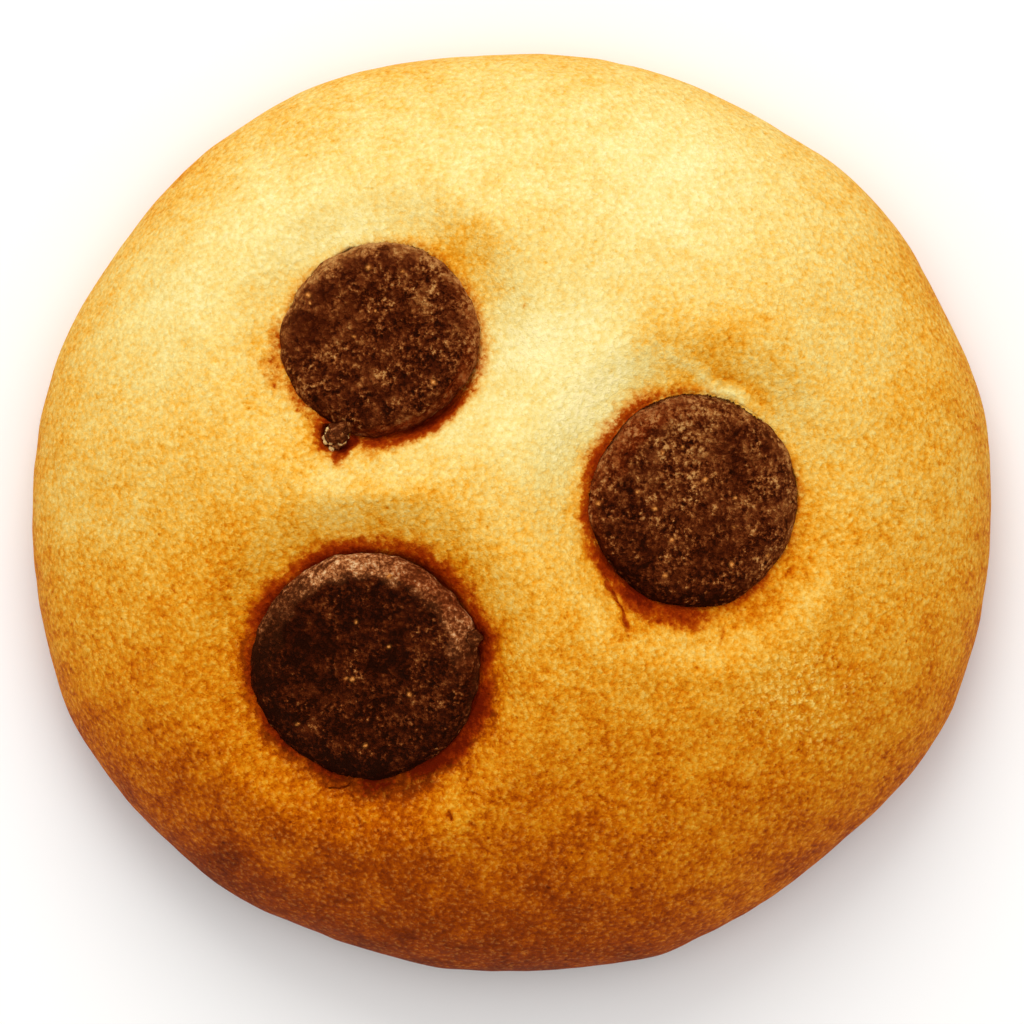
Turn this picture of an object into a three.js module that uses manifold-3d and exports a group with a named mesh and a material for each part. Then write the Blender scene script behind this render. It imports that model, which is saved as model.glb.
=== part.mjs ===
// A small, soft-baked chocolate chip cookie: one puffed, golden dough with three large
// chocolate chips sunk into its top, their flat sides up.
//
// Millimetres, +Z up. The cookie lies on its flat base in the XY plane, with the origin under
// the middle of its outline. Seen from above, +X is to the right and +Y is up.

import * as THREE from "three";
import { mergeVertices } from "three/addons/utils/BufferGeometryUtils.js";
import Module from "manifold-3d";

// The dough's main sizes. Shares are of the outline's radius.
const WIDTH = 47.8; // across the outline, along X, before its swells
const DEPTH = 45.9; // across the outline, along Y
const HEIGHT = 15.6; // from the base to the top of the smooth dome
const WAIST_HEIGHT = 3.6; // where the side is widest
const BASE_SHARE = 0.89; // the flat base's radius
const DOME_POWER = 2.1; // over 2 flattens the middle of the dome
const DOME_EDGE = 0.52; // near a half rounds the dome down to the waist
const RELIEF_SHARE = 0.8; // where the top's unevenness starts to die away towards the waist

// The outline isn't a plain ellipse. Each swell pushes it out, or in where its rise is negative,
// round one bearing. Bearings run anticlockwise from +X, and a spread is half a swell's width.
const OUTLINE_SWELLS = [
  { bearing: 15, rise: 0.28, spread: 9 },
  { bearing: 40, rise: 0.38, spread: 8 },
  { bearing: 70, rise: 0.09, spread: 14 },
  { bearing: 118, rise: 0.33, spread: 12 },
  { bearing: 162, rise: 0.12, spread: 10 },
  { bearing: 210, rise: 0.45, spread: 13 },
  { bearing: 232, rise: 0.18, spread: 7 },
  { bearing: 268, rise: -0.06, spread: 8 },
  { bearing: 289, rise: 0.26, spread: 4 },
  { bearing: 307, rise: -0.12, spread: 9 },
  { bearing: 333, rise: 0.34, spread: 7 },
  { bearing: 345, rise: 0.14, spread: 4 },
];

// Broad rises and hollows of the top: where each is, how far it rises and how far it reaches
const MOUNDS = [
  { x: 1.6, y: 5.6, rise: -0.75, reach: 5.4 }, // the hollow between the chips
  { x: -1.0, y: 14.6, rise: 0.35, reach: 3.6 },
  { x: 12.6, y: 8.2, rise: 0.4, reach: 3.6 },
  { x: -6.4, y: 0.4, rise: 0.35, reach: 3.0 }, // the ridge between the two left chips
  { x: 3.4, y: -8.6, rise: 0.45, reach: 5.4 },
  { x: -15.5, y: 1.8, rise: 0.3, reach: 4.2 },
];

// Slight waves all over the top, in seeded directions
const RIPPLES = { count: 14, shortest: 5.0, longest: 12.0, rise: 0.04, seed: 7 };

// The dough sinks towards each chip: how deep, and how far out it starts
const DIMPLE = { depth: 1.3, reach: 3.7 };

// The three chips. Proud is how far a chip's face stands above the dough at its edge. Lean tips
// the face further than the dough's own slope, as rise per millimetre. Each chip's outline has
// its swells, and its pocket is wider than the chip round one bearing, where it came away.
const CHIPS = [
  {
    name: "chip_upper_left",
    x: -6.45,
    y: 8.55,
    radius: 4.93,
    proud: 0.75,
    lean: { x: 0.0, y: 0.03 },
    swells: [
      { bearing: 60, rise: 0.1, spread: 16 },
      { bearing: 140, rise: -0.12, spread: 18 },
      { bearing: 185, rise: 0.1, spread: 16 },
      { bearing: 303, rise: -0.42, spread: 24 },
    ],
    slack: [{ bearing: 303, rise: 0.1, spread: 28 }],
  },
  {
    name: "chip_right",
    x: 9.05,
    y: 0.65,
    radius: 5.24,
    proud: 0.7,
    lean: { x: 0.03, y: 0.0 },
    swells: [
      { bearing: 90, rise: 0.12, spread: 20 },
      { bearing: 150, rise: -0.12, spread: 14 },
      { bearing: 275, rise: 0.22, spread: 24 },
      { bearing: 320, rise: -0.12, spread: 12 },
    ],
    slack: [{ bearing: 226, rise: 0.1, spread: 28 }],
  },
  {
    name: "chip_lower_left",
    x: -7.2,
    y: -7.65,
    radius: 5.66,
    proud: 0.85,
    lean: { x: 0.02, y: 0.03 },
    swells: [
      { bearing: 12, rise: 0.14, spread: 8 },
      { bearing: 45, rise: -0.14, spread: 14 },
      { bearing: 180, rise: 0.14, spread: 20 },
      { bearing: 235, rise: -0.14, spread: 16 },
    ],
    slack: [{ bearing: 45, rise: 0.15, spread: 38 }],
  },
];

// A chip's half section, downwards from its flat face. Shares are of the chip's radius or height.
const CHIP = {
  height: 5.2, // from the face to the blunt tip
  edge: 1.1, // the rounding between the face and the side
  side: 1.0, // the upright stretch of the side
  shoulder: { radiusShare: 0.74, depthShare: 0.62 },
  tip: { radius: 1.6, rise: 0.25 },
  dish: { radiusShare: 0.4, depth: 0.12 }, // how far the middle of the face sinks
};

// The crumb of chocolate on one chip's edge: how far out and how far below the face it is
const NUB = { chip: "chip_upper_left", bearing: 244, radius: 0.66, out: 0.3, below: 0.6 };

const GAP = 0.3; // between the dough and each chip, which touch in the real cookie
const POCKET_HEADROOM = 4; // how far a pocket's cutter reaches above the chip's face

// Mesh fineness
const DOUGH_SEGMENTS = 108;
const DOME_RINGS = 32;
const DOME_RING_CROWDING = 0.85; // under 1 brings the rings nearer the waist
const SIDE_RINGS = 6;
const BASE_RINGS = 2;
const CHIP_SEGMENTS = 40;
const EDGE_STEPS = 5;
const NUB_DETAIL = 2;
const SEAT_SAMPLES = 24; // points round a chip that its seat is averaged over
const MERGE_MM = 1e-4;

const COLOURS = { dough: 0xe3a548, chocolate: 0x4a2412 };

// Falls smoothly from 1 at zero to 0 at one and beyond.
function fade(x) {
  const t = THREE.MathUtils.clamp(x, 0, 1);
  return 1 - t * t * (3 - 2 * t);
}

function bearingOf(x, y) {
  return THREE.MathUtils.radToDeg(Math.atan2(y, x));
}

// The sum of some swells at a bearing, both in degrees.
function swellAt(swells, bearing) {
  return swells.reduce((sum, swell) => {
    const turn = THREE.MathUtils.euclideanModulo(bearing - swell.bearing + 180, 360) - 180;
    return sum + swell.rise * Math.exp(-0.5 * (turn / swell.spread) ** 2);
  }, 0);
}

// The outline's radius at a bearing.
function outlineRadius(bearing) {
  const angle = THREE.MathUtils.degToRad(bearing);
  const [a, b] = [WIDTH / 2, DEPTH / 2];
  const ellipse = (a * b) / Math.hypot(b * Math.cos(angle), a * Math.sin(angle));
  return ellipse + swellAt(OUTLINE_SWELLS, bearing);
}

function chipRadius(chip, bearing) {
  return chip.radius + swellAt(chip.swells, bearing);
}

// The smooth dome's height at a share of the way out to the outline.
function domeHeight(share) {
  const rise = (1 - Math.min(share, 1) ** DOME_POWER) ** DOME_EDGE;
  return WAIST_HEIGHT + (HEIGHT - WAIST_HEIGHT) * rise;
}

function makeRipples() {
  THREE.MathUtils.seededRandom(RIPPLES.seed);
  const draw = () => THREE.MathUtils.seededRandom();
  return Array.from({ length: RIPPLES.count }, () => {
    const heading = draw() * 2 * Math.PI;
    const length = THREE.MathUtils.lerp(RIPPLES.shortest, RIPPLES.longest, draw());
    const pace = (2 * Math.PI) / length;
    const start = draw() * 2 * Math.PI;
    return { x: pace * Math.cos(heading), y: pace * Math.sin(heading), start };
  });
}

const ripples = makeRipples();

// The height that mounds, waves and dimples add to the smooth dome.
function reliefAt(x, y) {
  const mounds = MOUNDS.reduce((sum, mound) => {
    const away = Math.hypot(x - mound.x, y - mound.y) / mound.reach;
    return sum + mound.rise * Math.exp(-(away ** 2));
  }, 0);
  const waves = ripples.reduce(
    (sum, wave) => sum + RIPPLES.rise * Math.cos(wave.x * x + wave.y * y + wave.start),
    0,
  );
  const dimples = CHIPS.map((chip) => {
    const [dx, dy] = [x - chip.x, y - chip.y];
    const outside = Math.hypot(dx, dy) - chipRadius(chip, bearingOf(dx, dy));
    return DIMPLE.depth * fade(outside / DIMPLE.reach);
  });
  return mounds + waves - Math.hypot(...dimples);
}

// The height of the dough's top, as if it had no pockets.
function topHeight(x, y) {
  const share = Math.hypot(x, y) / outlineRadius(bearingOf(x, y));
  const kept = fade((share - RELIEF_SHARE) / (1 - RELIEF_SHARE));
  return domeHeight(share) + reliefAt(x, y) * kept;
}

// Where a chip sits: the height and slope of its face, from the dough round its edge.
function seatOf(chip) {
  let [height, slopeX, slopeY] = [chip.proud, chip.lean.x, chip.lean.y];
  for (let i = 0; i < SEAT_SAMPLES; i++) {
    const angle = (2 * Math.PI * i) / SEAT_SAMPLES;
    const [dx, dy] = [chip.radius * Math.cos(angle), chip.radius * Math.sin(angle)];
    const there = topHeight(chip.x + dx, chip.y + dy);
    height += there / SEAT_SAMPLES;
    slopeX += (2 * there * dx) / (chip.radius ** 2 * SEAT_SAMPLES);
    slopeY += (2 * there * dy) / (chip.radius ** 2 * SEAT_SAMPLES);
  }
  return { height, slopeX, slopeY };
}

// The height of a chip's face at a place on it.
function faceHeight(chip, x, y) {
  const seat = seatOf(chip);
  return seat.height + seat.slopeX * (x - chip.x) + seat.slopeY * (y - chip.y);
}

// A lathed shape that stands on its Z axis. Its profile's points are (radius, height).
function lathe(profile, segments) {
  return new THREE.LatheGeometry(profile, segments).rotateX(Math.PI / 2);
}

// Moves each vertex of a geometry with a function of its place.
function reshape(geometry, move) {
  const place = new THREE.Vector3();
  const positions = geometry.getAttribute("position");
  for (let i = 0; i < positions.count; i++) {
    move(place.fromBufferAttribute(positions, i));
    positions.setXYZ(i, place.x, place.y, place.z);
  }
  return geometry;
}

const wasm = await Module();
wasm.setup();

// A geometry as a solid, for joining and cutting.
function toSolid(geometry) {
  const bare = geometry.clone();
  bare.deleteAttribute("normal");
  bare.deleteAttribute("uv");
  const merged = mergeVertices(bare, MERGE_MM);
  const corners = merged.index.array;
  const kept = [];
  for (let i = 0; i < corners.length; i += 3) {
    const [a, b, c] = [corners[i], corners[i + 1], corners[i + 2]];
    if (a !== b && b !== c && c !== a) kept.push(a, b, c);
  }
  return new wasm.Manifold(
    new wasm.Mesh({
      numProp: 3,
      vertProperties: merged.getAttribute("position").array,
      triVerts: new Uint32Array(kept),
    }),
  );
}

// A solid as a geometry again.
function toGeometry(solid) {
  const { vertProperties, triVerts } = solid.getMesh();
  const geometry = new THREE.BufferGeometry();
  geometry.setAttribute("position", new THREE.BufferAttribute(vertProperties, 3));
  geometry.setIndex(new THREE.BufferAttribute(triVerts, 1));
  geometry.computeVertexNormals();
  return geometry;
}

// The dough's half section, as shares of the outline's radius and heights: from the middle of
// the base, out round the foot to the waist, and up over the dome.
function doughProfile() {
  const points = [];
  for (let i = 0; i < BASE_RINGS; i++) {
    points.push(new THREE.Vector2((BASE_SHARE * i) / BASE_RINGS, 0));
  }
  for (let i = 0; i < SIDE_RINGS; i++) {
    const turn = ((Math.PI / 2) * i) / SIDE_RINGS;
    const share = BASE_SHARE + (1 - BASE_SHARE) * Math.sin(turn);
    points.push(new THREE.Vector2(share, WAIST_HEIGHT * (1 - Math.cos(turn))));
  }
  for (let i = 0; i < DOME_RINGS; i++) {
    const turn = ((Math.PI / 2) * i) / DOME_RINGS;
    const share = Math.cos(turn) ** DOME_RING_CROWDING;
    points.push(new THREE.Vector2(share, domeHeight(share)));
  }
  points.push(new THREE.Vector2(0, domeHeight(0)));
  return points;
}

function makeDough() {
  return reshape(lathe(doughProfile(), DOUGH_SEGMENTS), (place) => {
    const onDome = place.z >= WAIST_HEIGHT;
    const reach = outlineRadius(bearingOf(place.x, place.y));
    place.x *= reach;
    place.y *= reach;
    if (onDome) place.z = topHeight(place.x, place.y);
  });
}

// The underside of a chip, or of its pocket a gap away, from the tip up to the side.
function undersideProfile(radius, gap) {
  const { height, edge, side, shoulder, tip } = CHIP;
  return [
    new THREE.Vector2(0, -height - gap),
    new THREE.Vector2(tip.radius, tip.rise - height - gap),
    new THREE.Vector2(shoulder.radiusShare * radius + gap, -shoulder.depthShare * height - gap),
    new THREE.Vector2(radius + gap, -edge - side),
  ];
}

// A chip's half section from its tip up to its face. Heights are from the face.
function chipProfile(radius) {
  const points = undersideProfile(radius, 0);
  for (let i = 0; i <= EDGE_STEPS; i++) {
    const turn = ((Math.PI / 2) * i) / EDGE_STEPS;
    const inset = CHIP.edge * (1 - Math.cos(turn));
    points.push(new THREE.Vector2(radius - inset, CHIP.edge * (Math.sin(turn) - 1)));
  }
  points.push(new THREE.Vector2(CHIP.dish.radiusShare * radius, -CHIP.dish.depth));
  points.push(new THREE.Vector2(0, -CHIP.dish.depth));
  return points;
}

// The space that a chip takes up in the dough, open straight up.
function pocketProfile(radius) {
  return [
    ...undersideProfile(radius, GAP),
    new THREE.Vector2(radius + GAP, POCKET_HEADROOM),
    new THREE.Vector2(0, POCKET_HEADROOM),
  ];
}

// Lathes a profile, gives it the chip's own outline with any slack, and sets it in its seat.
function setInSeat(chip, profile, slack = []) {
  return reshape(lathe(profile, CHIP_SEGMENTS), (place) => {
    const bearing = bearingOf(place.x, place.y);
    const grown = (chipRadius(chip, bearing) + swellAt(slack, bearing)) / chip.radius;
    place.x = chip.x + place.x * grown;
    place.y = chip.y + place.y * grown;
    place.z += faceHeight(chip, place.x, place.y);
  });
}

// The crumb on a chip's edge, or the hollow that it leaves in the dough, a gap larger.
function makeNub(chip, gap) {
  const angle = THREE.MathUtils.degToRad(NUB.bearing);
  const reach = chipRadius(chip, NUB.bearing) + NUB.out;
  const [x, y] = [chip.x + reach * Math.cos(angle), chip.y + reach * Math.sin(angle)];
  const nub = new THREE.IcosahedronGeometry(NUB.radius + gap, NUB_DETAIL);
  return nub.translate(x, y, faceHeight(chip, x, y) - NUB.below);
}

function matte(colour, roughness) {
  return new THREE.MeshStandardMaterial({ color: colour, roughness, metalness: 0 });
}

const cookie = new THREE.Group();

function addPiece(name, solid, material) {
  const mesh = new THREE.Mesh(toGeometry(solid), material);
  mesh.name = name;
  cookie.add(mesh);
}

let dough = toSolid(makeDough());
for (const chip of CHIPS) {
  let chocolate = toSolid(setInSeat(chip, chipProfile(chip.radius)));
  let pocket = toSolid(setInSeat(chip, pocketProfile(chip.radius), chip.slack));
  if (chip.name === NUB.chip) {
    chocolate = chocolate.add(toSolid(makeNub(chip, 0)));
    pocket = pocket.add(toSolid(makeNub(chip, GAP)));
  }
  dough = dough.subtract(pocket);
  addPiece(chip.name, chocolate, matte(COLOURS.chocolate, 0.55));
}
addPiece("dough", dough, matte(COLOURS.dough, 0.85));

export default cookie;
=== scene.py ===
from functools import lru_cache
import math

import bmesh
import bpy
from mathutils import Matrix, Vector, noise


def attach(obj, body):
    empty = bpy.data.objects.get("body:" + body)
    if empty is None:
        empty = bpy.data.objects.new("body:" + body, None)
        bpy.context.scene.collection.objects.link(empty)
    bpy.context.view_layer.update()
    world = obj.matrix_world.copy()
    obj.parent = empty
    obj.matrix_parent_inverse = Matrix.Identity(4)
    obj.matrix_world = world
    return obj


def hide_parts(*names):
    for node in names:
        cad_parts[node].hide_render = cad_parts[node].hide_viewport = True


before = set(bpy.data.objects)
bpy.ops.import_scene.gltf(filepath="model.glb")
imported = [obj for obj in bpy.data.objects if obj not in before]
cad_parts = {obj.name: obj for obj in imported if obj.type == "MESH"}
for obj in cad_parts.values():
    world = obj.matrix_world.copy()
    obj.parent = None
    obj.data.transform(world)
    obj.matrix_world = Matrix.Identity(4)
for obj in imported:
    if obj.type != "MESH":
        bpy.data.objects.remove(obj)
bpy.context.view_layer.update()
print("frame loaded:", ", ".join(sorted(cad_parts)))

mm = 0.001  # lengths below are in millimetres, and Blender's are in metres
tiny = 1e-5


# small helpers

def fade(x):  # falls smoothly from 1 at zero to 0 at one and beyond
    t = min(max(x, 0.0), 1.0)
    return 1 - t * t * (3 - 2 * t)


def bell(x, spread):  # 1 at zero, falling off on both sides
    return math.exp(-0.5 * (x / spread) ** 2)


def patchSum(patches, x, y):  # round soft patches, each (x, y, amount, reach)
    return sum(
        amount * math.exp(-((x - px) ** 2 + (y - py) ** 2) / reach ** 2) for px, py, amount, reach in patches
    )


def bearingOf(x, y):  # degrees, anticlockwise from +X
    return math.degrees(math.atan2(y, x))


def turnBetween(a, b):  # degrees from b to a, between -180 and 180
    return (a - b + 180) % 360 - 180


def swellAt(swells, bearing):  # swells are (bearing, rise, spread)
    return sum(rise * bell(turnBetween(bearing, at), spread) for at, rise, spread in swells)


def wobble(place, size, seed):  # smooth noise from about -1 to 1, in lumps of that size
    return noise.noise(Vector(place) / size + Vector((seed, 0, 0)))


# the dough's form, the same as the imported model's, with finer unevenness

dough = {
    "width": 47.8,
    "depth": 45.9,
    "height": 15.6,
    "waistHeight": 3.6,
    "baseShare": 0.89,
    "domePower": 2.1,
    "domeEdge": 0.52,
    "reliefShare": 0.8,
    "outline": [
        (15, 0.28, 9), (40, 0.38, 8), (70, 0.09, 14), (118, 0.33, 12), (162, 0.12, 10),
        (210, 0.45, 13), (232, 0.18, 7), (268, -0.06, 8), (289, 0.26, 4), (307, -0.12, 9),
        (333, 0.34, 7), (345, 0.14, 4), (197, 0.13, 15), (91, -0.14, 7), (27, -0.13, 8),
        (47, 0.1, 7), (152, -0.13, 8), (138, 0.1, 6), (263, 0.12, 9),
    ],
    "mounds": [  # x, y, rise, reach
        (1.6, 5.6, -0.75, 5.4), (-1.0, 14.6, 0.35, 3.6), (12.6, 8.2, 0.4, 3.6),
        (-6.4, 0.4, 0.35, 3.0), (3.4, -8.6, 0.45, 5.4), (-15.5, 1.8, 0.3, 4.2),
    ],
    "fills": [  # slight swellings that the chips' seats don't follow
        (5.2, 6.0, 0.3, 2.6), (-8.2, 14.4, 0.3, 2.4), (8.6, 7.6, 0.12, 1.6),
    ],
    "dimpleDepth": 1.3,
    "dimpleReach": 3.7,
    "lumps": [(6.5, 0.16), (2.6, 0.07), (1.1, 0.035)],  # size, rise
    "lip": 0.5,  # the dough's edge rolls into a pocket over this width
    "lipDepth": 0.42,
    "moatDepth": 0.6,  # the floor of the slack beside a chip, below the dough
    "wideSlack": 0.3,  # a gap from which the lip and the moat have their full size
    "contact": 0.14,  # how far the crust runs in under a chip's rounded rim
    "tightLip": 0.3,  # shares of the lip's width and depth where a chip is in contact
    "tightDepth": 0.2,
    "moatEdge": 0.18,
    "seatGap": 0.06,
    "knobGap": 0.08,
    "baseHollow": (0.5, 19),  # share of the lumps, and where they end
    "segments": 420,
    "ringStep": 0.33,
    "sideRings": 16,
    "baseRings": 9,
    "finerRound": (-0.3, 1.1),  # from a chip's side
    "finerAlong": 0.36,  # from a split's line
    "thinLine": 0.3,  # a line of less width has the finest mesh
    "seed": 5,
}

beyondReach = {"swells": 5, "pocket": 2.5, "stainAndShade": 3.5}  # past a chip's side, where each has ended

chips = {  # bearings in degrees, anticlockwise from +X; places are from the chip's middle
    "chipUpperLeft": {
        "node": "chip_upper_left",
        "x": -6.45, "y": 8.55, "radius": 4.93, "proud": 0.75, "lean": (0, 0.03),
        "swells": [(60, 0.1, 16), (140, -0.12, 18), (185, 0.1, 16), (303, -0.42, 24)],
        "slack": [(303, 0.34, 28), (255, 0.1, 8)],  # bearing, gap, spread
        "knobs": [(244, 0.58, 0.26, 0.46)],  # bearing, radius, reach beyond the side, drop
        "crystals": [  # bearing on the knob, height share, radius
            (145, 0.3, 0.1), (160, 0.38, 0.09), (195, 0.15, 0.1), (219, 0.38, 0.07), (239, 0.5, 0.08),
            (255, 0.12, 0.11), (298, 0.52, 0.08), (314, 0.52, 0.07), (342, 0.25, 0.09), (178, 0.6, 0.05),
        ],
        "terraces": [(303, 32, 0.42, 0.36)],  # bearing, spread, width, drop: a lower step of the rim
        "dustAndRimLight": [(62, 16, 0.2, 0.3), (330, 30, 0.2, 0.15)],  # bearing, spread, width, strength: pale bloom on the rim, with painted highlight where the north-facing rim catches the light
        "rust": [(285, 20, 0.3, 0.7), (325, 24, 0.4, 0.6), (0, 20, 0.5, 0.3)],
        "rimLightAndShade": [  # bearing, spread, width, amount: paler or darker towards the side, mostly painted light on the north-facing rim, painted shade on sides turned from the light, and a paler edge that lifts the dark line at the crust
            (95, 55, 0.9, 0.32), (20, 30, 0.5, 0.08), (335, 24, 0.8, 0.18), (90, 85, 0.2, 0.2),
        ],
        "smooth": [  # x, y, amount, reach: where the grain is faint
            (-3.9, 0.6, 0.8, 1.3), (-3.3, 2.6, 0.7, 1), (-1.6, 4.2, 0.8, 1.1), (1.2, 4.4, 0.7, 1.1),
            (-1.4, 1, 0.6, 0.9), (3.4, 2.9, 0.6, 0.8), (4.4, 1, 0.6, 0.7), (-1, -1.2, 0.4, 0.8),
        ],
        "patches": [  # x, y, amount, reach: darker and paler places
            (0, 0, 0.05, 9), (0.7, 1, -0.14, 0.9), (2.3, -1.6, -0.16, 1.2), (-3.6, 0.8, -0.13, 0.9),
            (-1.2, -3.2, -0.13, 0.9), (0.2, 1.8, 0.08, 0.6), (2, 1.5, 0.05, 0.7), (-2.5, -1.2, 0.09, 0.9),
            (4.1, 0.3, 0.16, 0.5), (-0.2, -2, 0.06, 0.8),
        ],
        "specksAndGlints": [  # x, y, size: pale specks, brightened as painted glints
            (-0.65, 3.65, 0.1), (2.75, -2.2, 0.1), (-3.7, 2.3, 0.1), (-3.6, 1.9, 0.05), (1.05, 3.4, 0.06),
            (-0.3, 1.5, 0.05), (-1.35, 0.2, 0.06),
        ],
        "stainsAndShade": [  # bearing, spread, reach from the side, width, strength: melted chocolate stain beside the chip, darkened further as painted shade in the gap
            (180, 12, 0, 0.6, 0.5), (194, 12, 0.4, 0.7, 0.42), (214, 14, 0, 0.44, 0.56),
            (238, 10, 0, 0.46, 0.8), (268, 12, 0, 0.46, 0.82), (300, 34, 0, 0.32, 0.92),
            (345, 22, 0, 0.4, 0.52), (20, 24, 0, 0.36, 0.42), (60, 26, 0, 0.4, 0.32),
            (95, 18, 0, 0.2, 0.14), (152, 22, 0, 0.3, 0.34),
        ],
        "seed": 3,
    },
    "chipRight": {
        "node": "chip_right",
        "x": 9.05, "y": 0.65, "radius": 5.24, "proud": 0.7, "lean": (0.03, 0),
        "swells": [(90, 0.12, 20), (150, -0.12, 14), (275, 0.22, 24), (320, -0.12, 12)],
        "slack": [(226, 0.15, 28)],
        "knobs": [],
        "terraces": [(125, 34, 0.9, 0.16)],
        # pale bloom, with painted highlight on the lit north rim
        "dustAndRimLight": [(112, 34, 0.5, 0.25), (20, 40, 0.3, 0.15)],
        "rust": [(128, 24, 1.1, 0.45), (160, 30, 0.3, 0.3)],
        # painted light on the lit north rim, painted shade on the south-west bevel, and a paler edge against
        # the crust
        "rimLightAndShade": [
            (105, 45, 0.9, 0.17), (142, 26, 0.8, 0.16), (355, 45, 0.9, 0.12), (238, 26, 1, -0.22),
            (80, 85, 0.2, 0.2),
        ],
        "smooth": [(1.6, 2.4, 0.5, 1.1), (1.9, -1.2, 0.4, 1.2), (-2.3, 0.9, 0.5, 0.7), (3.9, 2.1, 0.4, 0.7)],
        "patches": [
            (0, 0, 0.04, 9), (-1.8, 3.8, 0.1, 1.6), (-3, 2.3, 0.08, 1.2), (-0.1, 0.7, 0.09, 1.6),
            # the patch at (-2.8, -3.1) is painted shade on the south-west bevel, which faces away from the
            # light
            (0.4, -3, -0.08, 1.3), (3.4, -0.4, 0.12, 1.1), (-2.8, -3.1, -0.13, 1.3), (1, -5, -0.22, 1.3),
            (0.4, 3.6, 0.12, 1.8), (1.7, 2.7, -0.1, 1), (-3.4, -0.5, -0.1, 0.8), (3.8, -1.4, -0.18, 0.35),
            (2.8, 0.8, -0.12, 0.35), (0.4, -1.8, -0.05, 1),
        ],
        # pale specks, brightened as painted glints
        "specksAndGlints": [
            (0.6, 0.97, 0.09), (2.1, 0.08, 0.07), (-1.9, -0.47, 0.08), (-2.8, 0.37, 0.06),
            (-1.05, -1.97, 0.08), (1.9, -3.2, 0.09), (3.8, -2.85, 0.08), (-1.5, 2.3, 0.07),
            (-0.5, 2.55, 0.06), (-4.75, -0.2, 0.09), (2.05, -1.4, 0.05), (-1.35, -3.7, 0.08),
        ],
        # melted chocolate stain beside the chip, darkened further as painted shade in the gap
        "stainsAndShade": [
            (97, 14, 0, 0.42, 0.46), (125, 20, 0, 0.54, 0.68), (158, 22, 0, 0.46, 0.8),
            (190, 22, 0, 0.42, 0.74), (218, 16, 0.1, 0.42, 0.86), (240, 12, 0.2, 0.58, 1.05),
            (262, 16, 0.3, 0.58, 0.8), (300, 20, 0, 0.45, 0.66), (300, 20, 0.9, 0.6, 0.32),
            (332, 18, 0, 0.44, 0.46), (5, 18, 0, 0.3, 0.44),
        ],
        "seed": 11,
    },
    "chipLowerLeft": {
        "node": "chip_lower_left",
        "x": -7.2, "y": -7.65, "radius": 5.66, "proud": 0.85, "lean": (0.02, 0.03),
        "swells": [(45, -0.14, 14), (180, 0.14, 20), (235, -0.14, 16)],
        "slack": [(45, 0.2, 38)],
        "knobs": [(14, 0.34, -0.1, 0.3)],
        "terraces": [(60, 40, 0.8, 0.14)],
        # pale bloom, with painted highlight on the lit north bevel
        "dustAndRimLight": [
            (98, 30, 1, 1), (52, 22, 0.85, 0.62), (24, 12, 1.1, 0.84), (150, 14, 0.3, 0.5),
            (350, 20, 0.12, 0.3),
        ],
        "rust": [(48, 26, 0.8, 0.32)],
        # painted shade on the west and south sides, and a paler edge against the crust
        "rimLightAndShade": [(185, 30, 1.4, -0.2), (270, 50, 1, -0.1), (345, 16, 1.2, -0.02), (80, 80, 0.2, 0.2)],
        "smooth": [(-3.2, 1.8, 0.7, 1.5), (2.2, 2.6, 0.4, 1.2), (-2.2, -0.9, 0.4, 0.9), (1.4, 0.1, 0.5, 0.9)],
        "patches": [
            (0, 0, -0.15, 9), (-3.4, 0.9, -0.2, 1.5), (-0.2, 2.7, -0.12, 1.3), (1.3, 0.2, -0.12, 1.1),
            (-0.4, -5, -0.18, 2), (-0.4, -1.3, 0.13, 1.1), (2.3, -1.5, 0.13, 1), (2.7, 1.1, 0.1, 1),
            (-3, -1.9, 0.05, 0.9), (-0.4, -3.6, 0.09, 0.9), (4.2, 1.8, 0.14, 1),
        ],
        # pale specks, brightened as painted glints
        "specksAndGlints": [
            (-0.7, -0.65, 0.09), (-1, -0.6, 0.06), (-0.5, 2.2, 0.06), (2.15, -1.4, 0.08),
            (-0.05, -3.95, 0.08), (-3.45, -2.9, 0.06), (1.15, 1, 0.07), (1.15, 4.5, 0.09),
        ],
        # melted chocolate stain beside the chip, darkened further as painted shade in the gap
        "stainsAndShade": [
            (55, 32, 0.1, 0.72, 0.8), (12, 22, 0.1, 0.56, 0.94), (108, 28, 0, 0.6, 0.92),
            (148, 20, 0.08, 0.56, 0.92), (182, 22, 0, 0.44, 0.84), (218, 22, 0, 0.42, 0.94),
            (250, 16, 0.05, 0.52, 0.92), (275, 14, 0.25, 0.6, 0.98), (305, 18, 0.2, 0.6, 1.1),
            (338, 18, 0.2, 0.6, 1.06), (319, 14, 0.35, 0.6, 1),
        ],
        "seed": 23,
    },
}

chipForm = {
    "height": 5.2,
    "edge": 1.1,
    "side": 1.0,
    "shoulder": (0.74, 0.62),  # shares of radius and height
    "tipRadius": 1.6,
    "tipRise": 0.25,
    "dishShare": 0.4,
    "dishDepth": 0.12,
    "lumps": [(2.4, 0.08), (1.1, 0.12), (0.5, 0.06), (0.22, 0.02)],
    "pebbles": (0.62, 0.13),  # size and rise of the rounded grains of the face
    "pebbleStray": (0.5, 0.25),  # size and reach
    "pebblePatch": 2.0,
    "pebblesFrom": -1.2,  # no pebbles below this height
    "rimFrom": -1.6,  # no dust and painted rim light, patches or steps below this height
    "stepFade": 0.6,
    "ragged": [(1.7, 0.05), (0.6, 0.03)],  # size and reach of the outline's unevenness
    "speckAndGlint": (1.6, 0.8),  # strength, and share of its size, for the pale specks and painted glints
    "speckRise": 0.03,
    "stepEdge": 0.22,
    "stepHighlight": (0.14, 0.1),  # amount and width of the painted highlight along a step's edge
    "rimRagged": (0.5, 12),  # share of the width, and degrees to a lump
    "rimEdge": 0.35,
    "rimShare": 1.5,
    "segments": 260,
    "faceStep": 0.1,
    "edgeSteps": 14,
    "sideSteps": 6,
    "underStep": 0.35,
}


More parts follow.
